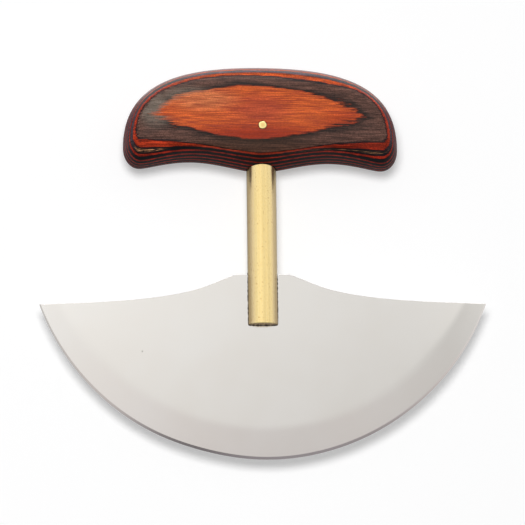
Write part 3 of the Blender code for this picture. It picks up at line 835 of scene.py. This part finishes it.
# Depth under the face, frayed and wavy, and from it the ply and the place in it
tips = {"Value": off_pin, "From Min": 26.0, "From Max": 46.0}
tips.update({"To Min": FINGER_DEPTH, "To Max": TIP_FINGER_DEPTH})
finger_depth = add_node(tree, "MapRange", tips)
fray = {"Value": fibre_pattern(FINGERS, 3.0, (0.0, 0.0, 0.0)), "To Min": -1.0, "To Max": 1.0}
fray = add_node(tree, "MapRange", fray)
fray = add_node(tree, "Math", [fray, finger_depth], "MULTIPLY")
roll = {"Value": fibre_pattern(WAVES, 2.0, (0.0, 0.0, 0.0)), "To Min": -WAVE_DEPTH, "To Max": WAVE_DEPTH}
roll = add_node(tree, "MapRange", roll)
shallow = {"Value": depth, "From Min": 1.0, "From Max": 3.0, "To Min": 1.0, "To Max": 0.5}
shallow = add_node(tree, "MapRange", shallow)
wander = add_node(tree, "Math", [fray, shallow, roll], "MULTIPLY_ADD")
true_depth = add_node(tree, "Math", [depth, wander], "ADD")
for patch in FULLER.values():
    left_over = [true_depth, soft_patch(*patch)]
    true_depth = add_node(tree, "Math", left_over, "SUBTRACT")
under_face = add_node(tree, "Math", [true_depth, FACE_PLY], "SUBTRACT")
over_glue = add_node(tree, "Math", [under_face, -1.0], "MULTIPLY")
plies = add_node(tree, "Math", [under_face, PLY], "DIVIDE")
ply_number = add_node(tree, "Math", [plies], "FLOOR")
ply_share = add_node(tree, "Math", [plies, ply_number], "SUBTRACT")
ply_rest = add_node(tree, "Math", [1.0, ply_share], "SUBTRACT")
to_glue = add_node(tree, "Math", [ply_share, ply_rest], "MINIMUM")
inner_number = add_node(tree, "Math", [ply_number, 0.0], "MAXIMUM")
is_face = add_node(tree, "MapRange", {"Value": over_glue, "From Min": -0.03, "From Max": 0.03})
is_red = add_node(tree, "Math", [inner_number, 2.0], "FLOORED_MODULO")
is_deep = add_node(tree, "Math", [ply_number, 1.5], "GREATER_THAN")
is_deep_red = add_node(tree, "Math", [is_deep, is_red], "MULTIPLY")
is_second_black = add_node(tree, "Math", [ply_number, 2.0, 0.5], "COMPARE")

# Colour across each kind of ply, from glue face to glue face, or from a glue face inwards
OUTER_BLACK = [(0.08, DARK_BROWN), (0.32, PLY_BROWN), (0.84, PLY_BROWN), (0.95, GLUE_BLACK)]
PLY_COLOURS = {
    "outer black": (ply_share, OUTER_BLACK),
    "black": (to_glue, [(0.05, GLUE_BLACK), (0.3, DEEP_BLACK)]),
    "outer red": (to_glue, [(0.0, GLUE_BLACK), (0.05, GLUE_RED), (0.14, PLY_RED)]),
    "red": (to_glue, [(0.06, GLUE_BLACK), (0.15, GLUE_RED), (0.3, DEEP_RED_WITH_PAINTED_SHADE)]),
    "face": (over_glue, [(0.0, FACE_GLUE), (0.06, FACE_ORANGE)]),
}
ply_colours = {}
for name, (source, stops) in PLY_COLOURS.items():
    ply_colours[name] = add_node(tree, "ValToRGB", {"Fac": source})
    set_stops(ply_colours[name], stops)

# Soft patches, each a place, a reach in mm and a strength: redder and paler stretches of the face
# and darker ones low on it and at its right tip, a grey smear of resin over its upper left boundary,
# painted shade low on the black ply, undyed stretches of the black plies, a darker stretch and
# painted light at the top on the red plies, and a painted pale sheen on the top and on the side rims,
# which are also rubbed dull
PATCHES = {
    "middle": ((-1.0, 7.0), (17.0, 9.0), 0.75),
    "low": ((-2.0, -6.0), (50.0, 10.0), 1.0),
    "right tip": ((36.0, 2.0), (16.0, 8.0), 0.6),
    "pale": ((-25.0, 11.0), (20.0, 7.0), 0.9),
    "left smear": ((-45.5, 7.0), (11.0, 11.0), 0.85),
    "upper smear": ((-33.0, 12.5), (17.0, 6.0), 0.6),
    "low ring in painted shade": ((-2.0, -8.5), (40.0, 7.0), 0.6),
    "left tan": ((-48.0, -11.5), (9.0, 5.0), 1.0),
    "right red": ((44.0, -9.5), (32.0, 6.0), 0.6),
    "top red in painted light": ((2.0, 20.0), (66.0, 8.0), 0.85),
    "right tan": ((36.0, -12.5), (30.0, 6.0), 0.35),
    "upper rings in painted light": ((0.0, 20.0), (90.0, 24.0), 0.9),
    "top painted sheen": ((0.0, 24.0), (60.0, 10.0), 0.7),
    "left rim": ((-60.0, 6.0), (13.0, 24.0), 0.62),
    "right rim": ((60.0, 6.0), (13.0, 24.0), 0.62),
}
patches = {name: soft_patch(*patch) for name, patch in PATCHES.items()}

# Some of them show on one kind of ply only: on the face, or inside the red plies
red_core = add_node(tree, "MapRange", {"Value": to_glue, "From Min": 0.05, "From Max": 0.12})
red_core = add_node(tree, "Math", [red_core, is_red], "MULTIPLY")
only_on = dict.fromkeys(("middle", "low", "right tip", "pale"), is_face)
only_on.update(dict.fromkeys(("right red", "top red in painted light", "upper rings in painted light"), red_core))
for name, ply in only_on.items():
    patches[name] = add_node(tree, "Math", [patches[name], ply], "MULTIPLY")

# The smear of resin, in a band along the boundary, and the streaks that the dye hasn't reached
fringe = add_node(tree, "MapRange", {"Value": over_glue, "From Min": 0.26, "From Max": 0.04})
smear_edge = add_node(tree, "MapRange", {"Value": over_glue, "From Min": -0.80, "From Max": -0.66})
fringe = add_node(tree, "Math", [fringe, smear_edge], "MULTIPLY")
smear = add_node(tree, "Math", [patches["left smear"], patches["upper smear"]], "MAXIMUM")
smear = add_node(tree, "Math", [smear, fringe], "MULTIPLY")
bare = add_node(tree, "Math", [patches["left tan"], patches["right tan"]], "MAXIMUM")
streaks = {"Value": fibre_pattern(STREAKS, 2.0, (3.1, 0.0, 0.0)), "From Min": 0.45, "From Max": 0.6}
streaks = add_node(tree, "MapRange", streaks)
bare_core = add_node(tree, "MapRange", {"Value": to_glue, "From Min": 0.18, "From Max": 0.4})
for factor in (streaks, bare_core, is_second_black):
    bare = add_node(tree, "Math", [bare, factor], "MULTIPLY")

# Grain, broad bands and pores, each ply with its own
ply_shift = add_node(tree, "CombineXYZ", {2: inner_number})
shift_far = add_node(tree, "VectorMath", {0: ply_shift, "Scale": PLY_APART}, "SCALE")
grain = fibre_pattern(GRAIN, 3.0, shift_far)
bands = fibre_pattern(BANDS, 3.0, shift_far)
pores = fibre_pattern(PORES, 2.0, shift_far)
mottle = fibre_pattern(MOTTLE, 1.0, shift_far)
off_line = add_node(tree, "Math", [pores, 0.5], "SUBTRACT")
off_line = add_node(tree, "Math", [off_line], "ABSOLUTE")
redder = add_node(tree, "MapRange", {"Value": grain, "From Min": 0.52, "From Max": 0.40, "To Max": 0.6})
redder = add_node(tree, "Math", [redder, is_face], "MULTIPLY")
side_rims = add_node(tree, "Math", [patches["left rim"], patches["right rim"]], "MAXIMUM")
# Where the painted pale sheen lies: on the side rims and at the top
rim_painted_sheen = add_node(tree, "Math", [side_rims, patches["top painted sheen"]], "MAXIMUM")

# The colours, laid over each other by their shares
# Painted light brightens the deep red plies at the top, and painted sheen the deep plies of the rims
upper_rings_painted_light = add_node(tree, "Math", [patches["upper rings in painted light"], is_deep_red], "MULTIPLY")
painted_sheen_on_deep_plies = add_node(tree, "Math", [rim_painted_sheen, is_deep], "MULTIPLY")
dyed = ply_colours["outer black"].outputs[0]
layers = (
    (patches["low ring in painted shade"], linear(PAINTED_SHADE_BROWN)),
    (is_face, ply_colours["face"]),
    (patches["middle"], linear(FACE_RED)),
    (patches["low"], linear(FACE_LOW)),
    (patches["right tip"], linear(FACE_LOW)),
    (patches["pale"], linear(FACE_PALE)),
    (redder, linear(FACE_STREAK)),
    (smear, linear(STAIN_GREY)),
    (is_deep, ply_colours["black"]),
    (painted_sheen_on_deep_plies, linear(PAINTED_SHEEN_MAUVE)),
    (bare, linear(UNDYED_TAN)),
    (is_red, ply_colours["outer red"]),
    (patches["right red"], linear(DARK_RED)),
    (patches["top red in painted light"], linear(PAINTED_LIGHT_RED)),
    (is_deep_red, ply_colours["red"]),
    (upper_rings_painted_light, linear(PAINTED_LIGHT_RED)),
)
for share, colour in layers:
    dyed = add_node(tree, "Mix", {0: share, 6: dyed, 7: colour}, data_type="RGBA").outputs[2]

# How light the wood is: by its fibres, broad bands, pores and a fine mottle
shades = (
    {"Value": grain, "From Min": 0.36, "From Max": 0.64, "To Min": 0.66, "To Max": 1.24},
    {"Value": bands, **NOISE_SPAN, "To Min": 0.87, "To Max": 1.13},
    {"Value": off_line, "From Min": 0.0, "From Max": 0.11, "To Min": 0.62, "To Max": 1.18},
    {"Value": mottle, **NOISE_SPAN, "To Min": 0.7, "To Max": 1.3},
)
light = 1.0
for shade_range in shades:
    shaded = add_node(tree, "MapRange", shade_range)
    light = add_node(tree, "Math", [shaded, light], "MULTIPLY")
calm = add_node(tree, "Math", [is_face, smear], "MAXIMUM")
contrast = add_node(tree, "MapRange", {"Value": calm, "To Min": 1.2, "To Max": 0.58})
light = add_node(tree, "Math", [light, 1.0], "SUBTRACT")
light = add_node(tree, "Math", [light, contrast, 1.0], "MULTIPLY_ADD")
coloured = add_node(tree, "VectorMath", {0: dyed, "Scale": light}, "SCALE")
relief = add_node(tree, "Bump", {"Height": grain, "Strength": 0.25, "Distance": 0.05 * MM})

# How dull it is: a little by its fibres, more low down on the handle and on the rubbed side rims
gloss = add_node(tree, "MapRange", {"Value": grain, **NOISE_SPAN, "To Min": 0.30, "To Max": 0.42})
duller = {"Value": parts.outputs[1], "From Min": -8.0, "From Max": -14.0, "To Max": 0.25}
duller = add_node(tree, "MapRange", duller)
gloss = add_node(tree, "Math", [gloss, duller], "ADD")
gloss = add_node(tree, "Math", [side_rims, 0.6, gloss], "MULTIPLY_ADD")
finish = {"Base Color": coloured, "Roughness": gloss, "Normal": relief, "Specular IOR Level": 0.22}
fill_inputs(tree, shader, finish)

handle = add_piece("handle_laminate", handle_mesh(), wood)
seat = EDGE_LOW + HANDLE_SEAT
mouth = BORE_RADIUS + MOUTH_CHAMFER
bore_profile = [
    (mouth, seat - MOUTH_CHAMFER),
    (mouth, seat),
    (BORE_RADIUS, seat + MOUTH_CHAMFER),
    (BORE_RADIUS, seat + BORE_DEPTH),
]
cut_away(handle, turned("bore", bore_profile, BORE_SIDES), pin_hole(PIN_HOLE_RADIUS))
shade(handle.data, HANDLE_CRISP_EDGE)
veneers = [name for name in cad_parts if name.startswith("veneer_")]
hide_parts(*veneers)
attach(handle, "root")


# Handle pin. A brass cross pin right through handle and stem, hammered a little so that it fills
# its hole, then sanded flush with the wood on both faces. Its rim is not quite round.
PIN_SINK = 0.03 * MM
# Its rounded end: shares of the radius, and how far they lie below the flat, in mm
PIN_END = ((0.35, 0.0), (0.75, 0.02), (0.90, 0.06), (0.97, 0.12), (1.0, 0.25))
PIN_LUMPS = 4
LUMP_HEIGHT = 0.02
PIN_RUB_SIZE = 0.6 * MM
PIN_CRISP_EDGE = math.radians(60)
PIN_SEED = 4

# Brass, sanded flush: bright yellow with a paler worn rim and warmer in the middle
PIN_YELLOW = "#fff0a6"
PIN_MIDDLE = "#f8d68e"

pin_metal, tree, shader, place = new_material("sanded_brass_pin")
off_pin = [place, (1.0, 1.0, 0.0), (0.0, -PIN_HEIGHT, 0.0)]
pin_flat = add_node(tree, "VectorMath", off_pin, "MULTIPLY_ADD")
pin_out = add_node(tree, "VectorMath", [pin_flat], "LENGTH")
pin_share = add_node(tree, "Math", [pin_out.outputs["Value"], PIN_RADIUS], "DIVIDE")
tint = add_node(tree, "ValToRGB", {"Fac": pin_share})
set_stops(tint, [(0.25, PIN_MIDDLE), (0.75, PIN_YELLOW)])
rubs = add_node(tree, "TexNoise", {"Vector": place, "Scale": 1 / PIN_RUB_SIZE, "Detail": 3.0})
scratch = add_node(tree, "Bump", {"Height": rubs, "Strength": 0.4, "Distance": 0.05 * MM})
fill_inputs(tree, shader, {"Base Color": tint, "Normal": scratch, "Metallic": 1.0, "Roughness": 0.28})


def pin_mesh():
    """The pin, with softly rounded and slightly uneven ends."""
    draw = np.random.default_rng(PIN_SEED)
    lumps = draw.uniform(-LUMP_HEIGHT, LUMP_HEIGHT, PIN_LUMPS)
    length = HALF_HANDLE - PIN_SINK
    half = [(share, length - drop * MM) for share, drop in PIN_END]
    profile = half + [(share, -height) for share, height in reversed(half)]
    builder = bmesh.new()
    rings = []
    for share, height in profile:
        ring = []
        for step in range(PIN_SIDES):
            turn = 2 * math.pi * step / PIN_SIDES
            uneven = [lump * math.cos((index + 2) * turn + index) for index, lump in enumerate(lumps)]
            reach = PIN_RADIUS * share * (1 + sum(uneven))
            spot = (reach * math.cos(turn), PIN_HEIGHT + reach * math.sin(turn), BLADE_MIDDLE + height)
            ring.append(builder.verts.new(spot))
        rings.append(ring)
    join_rings(builder, rings)
    return finished(builder, "peened_pin")


pin = add_piece("peened_pin", pin_mesh(), pin_metal)
shade(pin.data, PIN_CRISP_EDGE)
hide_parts("handle_pin")
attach(pin, "root")


# Table. A wide sheet of white paper, lit so that it is just white and keeps the knife's soft shadow.
# Behind the handle a pool of window light lies on it, which only the polished metal mirrors.
FLOOR_HALF = 3.0
FLOOR_WHITE = 0.64
FLOOR_GLOW = 0.42
FAR_GLOW = 0.85
GLOSSY_SHARE = 0.45
WINDOW_POOL = 5.0

paper, tree, shader, place = new_material("white_paper_sheet")
tree.nodes.remove(shader)
rays = add_node(tree, "LightPath", {})
far = add_node(tree, "VectorMath", [place], "LENGTH").outputs["Value"]
far = {"Value": far, "From Min": 0.3, "From Max": 2.4, "To Min": FLOOR_GLOW, "To Max": FAR_GLOW}
far = add_node(tree, "MapRange", far, interpolation_type="SMOOTHSTEP")
seen = [rays.outputs["Is Glossy Ray"], GLOSSY_SHARE, rays.outputs["Is Camera Ray"]]
seen = add_node(tree, "Math", seen, "MULTIPLY_ADD")
glow_strength = add_node(tree, "Math", [seen, far], "MULTIPLY")
along = add_node(tree, "SeparateXYZ", [place])
pool = {"Value": along.outputs[1], "From Min": 0.06, "From Max": 0.25, "To Max": WINDOW_POOL}
pool = add_node(tree, "MapRange", pool)
aside = add_node(tree, "Math", [along.outputs[0]], "ABSOLUTE")
aside = add_node(tree, "MapRange", {"Value": aside, "From Min": 0.30, "From Max": 0.15})
pool = add_node(tree, "Math", [pool, aside], "MULTIPLY")
pool = [pool, rays.outputs["Is Glossy Ray"], glow_strength]
glow_strength = add_node(tree, "Math", pool, "MULTIPLY_ADD")
glow = add_node(tree, "Emission", {"Color": (1.0, 1.0, 1.0, 1.0), "Strength": glow_strength})
matte = add_node(tree, "BsdfDiffuse", {"Color": (FLOOR_WHITE, FLOOR_WHITE, FLOOR_WHITE, 1.0)})
both = add_node(tree, "AddShader", [matte, glow])
fill_inputs(tree, tree.nodes["Material Output"], {"Surface": both})


def square_sheet(name, half, height):
    """A flat square, centred over the origin."""
    mesh = bpy.data.meshes.new(name)
    corners = [(-half, -half, height), (half, -half, height), (half, half, height), (-half, half, height)]
    mesh.from_pydata(corners, [], [(0, 1, 2, 3)])
    return mesh


floor = add_piece("table", square_sheet("table", FLOOR_HALF, 0.0), paper)


# Light. A broad soft lamp high behind the knife gives the shadow, a bright sky fills it in, and a
# white card hangs over the blade, for the metal to mirror: it is brightest up and to the left.
LAMP_DIRECTION = Vector((-0.09, 0.08, 1.0)).normalized()
LAMP_DISTANCE = 1.6
LAMP_SIZE = 0.55
LAMP_POWER = 19.5
SKY_FILL = 0.35
SKY_FADE = [
    (0.0, "#404248"),
    (0.07, "#404248"),
    (0.16, "#a8a9ac"),
    (0.26, "#70727a"),
    (0.36, "#585a60"),
    (0.5, "#b8b8ba"),
    (0.7, "#ffffff"),
    (0.8, "#c0c0c0"),
    (1.0, "#b0b0b0"),
]
SKY_GLOSS = 1.3
WINDOW_GLOSS = 6.0
CARD_HEIGHT = 0.5
CARD_HALF = 0.45
CARD_FADE = [
    (0.0, "#868188"),
    (0.33, "#c4bebd"),
    (0.51, "#d9d5d4"),
    (0.71, "#e6e5e3"),
    (0.86, "#f6f5f3"),
    (0.94, "#f5f4f2"),
    (1.0, "#e5e4e2"),
]
CARD_SHADE = Vector((-0.08, -0.20, CARD_HEIGHT))
CARD_SHADE_REACH = 0.12
CARD_SHADE_DEPTH = 0.42
CARD_LEFT_TO_RIGHT = {"From Min": -0.10, "From Max": 0.18, "To Min": 1.41, "To Max": 0.90}
# A change that has come in on all of the card
ALL_THE_WAY = (1.0, 0.9)
# Where the card is brighter or darker than that: from where to where the change comes in, first
# in X and then in Y, and how much is added there
CARD_CHANGES = {
    "right end": ((0.20, 0.28), ALL_THE_WAY, 0.14),
    "lower right": ((0.18, 0.26), (0.05, 0.02), 0.18),
    "lower left": ((-0.18, -0.32), (0.02, -0.02), -0.6),
    "low, right of the middle": ((0.05, 0.10), (0.02, -0.01), 0.11),
    "upper right": ((0.10, 0.14), (0.03, 0.05), 0.30),
}

lamp_data = bpy.data.lights.new("soft_lamp", "AREA")
lamp_data.shape = "DISK"
lamp_data.size = LAMP_SIZE
lamp_data.energy = LAMP_POWER
lamp = bpy.data.objects.new("soft_lamp", lamp_data)
lamp.location = LAMP_DIRECTION * LAMP_DISTANCE
lamp.rotation_mode = "QUATERNION"
lamp.rotation_quaternion = LAMP_DIRECTION.to_track_quat("Z", "Y")
lamp.visible_glossy = False
bpy.context.collection.objects.link(lamp)

card_paint, tree, shader, place = new_material("white_card")
tree.nodes.remove(shader)
across = add_node(tree, "SeparateXYZ", [place])
down = add_node(tree, "MapRange", {"Value": across.outputs[1], "From Min": -0.24, "From Max": 0.12})
fade = add_node(tree, "ValToRGB", {"Fac": down})
set_stops(fade, CARD_FADE)
card_strength = add_node(tree, "MapRange", {"Value": across.outputs[0], **CARD_LEFT_TO_RIGHT})
for *stretches, added in CARD_CHANGES.values():
    for axis, (start, full) in enumerate(stretches):
        ramp = {"Value": across.outputs[axis], "From Min": start, "From Max": full}
        ramp = add_node(tree, "MapRange", ramp)
        added = add_node(tree, "Math", [ramp, added], "MULTIPLY")
    card_strength = add_node(tree, "Math", [card_strength, added], "ADD")
dimmed = add_node(tree, "VectorMath", [place, CARD_SHADE], "DISTANCE").outputs["Value"]
dimmed = {"Value": dimmed, "From Max": CARD_SHADE_REACH, "To Min": CARD_SHADE_DEPTH}
dimmed = add_node(tree, "MapRange", dimmed, interpolation_type="SMOOTHSTEP")
card_strength = add_node(tree, "Math", [card_strength, dimmed], "MULTIPLY")
card_glow = add_node(tree, "Emission", {"Color": fade, "Strength": card_strength})
fill_inputs(tree, tree.nodes["Material Output"], {"Surface": card_glow})
card_mesh = square_sheet("card", CARD_HALF, CARD_HEIGHT)
card_mesh.flip_normals()  # it faces down
card = add_piece("card", card_mesh, card_paint)
card.visible_camera = False
card.visible_diffuse = False
card.visible_shadow = False

world = bpy.data.worlds.new("studio")
bpy.context.scene.world = world
world.use_nodes = True
tree = world.node_tree
direction = add_node(tree, "TexCoord", {}).outputs["Generated"]
across = add_node(tree, "SeparateXYZ", [direction])
across_share = add_node(tree, "MapRange", {"Value": across.outputs[1], "From Min": -1.0})
sky = add_node(tree, "ValToRGB", {"Fac": across_share})
set_stops(sky, SKY_FADE)
rays = add_node(tree, "LightPath", {})
shiny = [rays.outputs["Is Glossy Ray"], rays.outputs["Is Transmission Ray"]]
shiny = add_node(tree, "Math", shiny, "MAXIMUM")
# The window that metal mirrors: a bright part of the sky behind the handle, all of it high up, and
# lower down only straight behind
window = {"Value": across.outputs[1], "From Min": 0.42, "From Max": 0.75, "To Max": WINDOW_GLOSS}
window = add_node(tree, "MapRange", window)
high = add_node(tree, "MapRange", {"Value": across.outputs[2], "From Min": 0.55, "From Max": 0.7})
aside = add_node(tree, "Math", [across.outputs[0]], "ABSOLUTE")
low = add_node(tree, "MapRange", {"Value": aside, "From Min": 0.5, "From Max": 0.3})
over_floor = add_node(tree, "MapRange", {"Value": across.outputs[2], "From Min": 0.3, "From Max": 0.42})
low = add_node(tree, "Math", [low, over_floor], "MULTIPLY")
high = add_node(tree, "Math", [high, low], "MAXIMUM")
window = add_node(tree, "Math", [window, high, SKY_GLOSS], "MULTIPLY_ADD")
lit = add_node(tree, "Mix", {0: shiny, 2: SKY_FILL, 3: window})
strength = add_node(tree, "Mix", {0: rays.outputs["Is Camera Ray"], 2: lit, 3: 1.0})
seen_white = {0: rays.outputs["Is Camera Ray"], 6: sky, 7: (1.0, 1.0, 1.0, 1.0)}
sky_tint = add_node(tree, "Mix", seen_white, data_type="RGBA")
background = {"Color": sky_tint.outputs[2], "Strength": strength}
fill_inputs(tree, tree.nodes["Background"], background)


# Camera. A long lens almost straight above, a little towards the cutting edge and to the left. It
# stands far away, so that the handle, which is nearer, looks no larger than it is.
CAMERA_DISTANCE = 6.0
CAMERA_TILT = math.radians(9.6)
CAMERA_TURN = math.radians(-3.5)
CAMERA_ROLL = math.radians(-0.66)
CAMERA_AIM = Vector((0.0001, 0.0008, 0.0136))
FIELD_WIDTH = 0.2229
SENSOR_WIDTH = 36.0
CAMERA_REACH = 20.0

back = Vector(
    (
        math.sin(CAMERA_TURN) * math.cos(CAMERA_TILT),
        -math.sin(CAMERA_TILT),
        math.cos(CAMERA_TURN) * math.cos(CAMERA_TILT),
    )
)
right = Vector((0.0, 1.0, 0.0)).cross(back).normalized()
axes = Matrix((right, back.cross(right), back)).transposed()
camera_data = bpy.data.cameras.new("camera")
camera_data.sensor_width = SENSOR_WIDTH
camera_data.lens = SENSOR_WIDTH * CAMERA_DISTANCE / FIELD_WIDTH
camera_data.clip_end = CAMERA_REACH
camera = bpy.data.objects.new("camera", camera_data)
camera.location = CAMERA_AIM + back * CAMERA_DISTANCE
camera.rotation_mode = "QUATERNION"
camera.rotation_quaternion = (axes @ Matrix.Rotation(CAMERA_ROLL, 3, "Z")).to_quaternion()
bpy.context.collection.objects.link(camera)
bpy.context.scene.camera = camera
bpy.context.scene.view_settings.view_transform = "Standard"
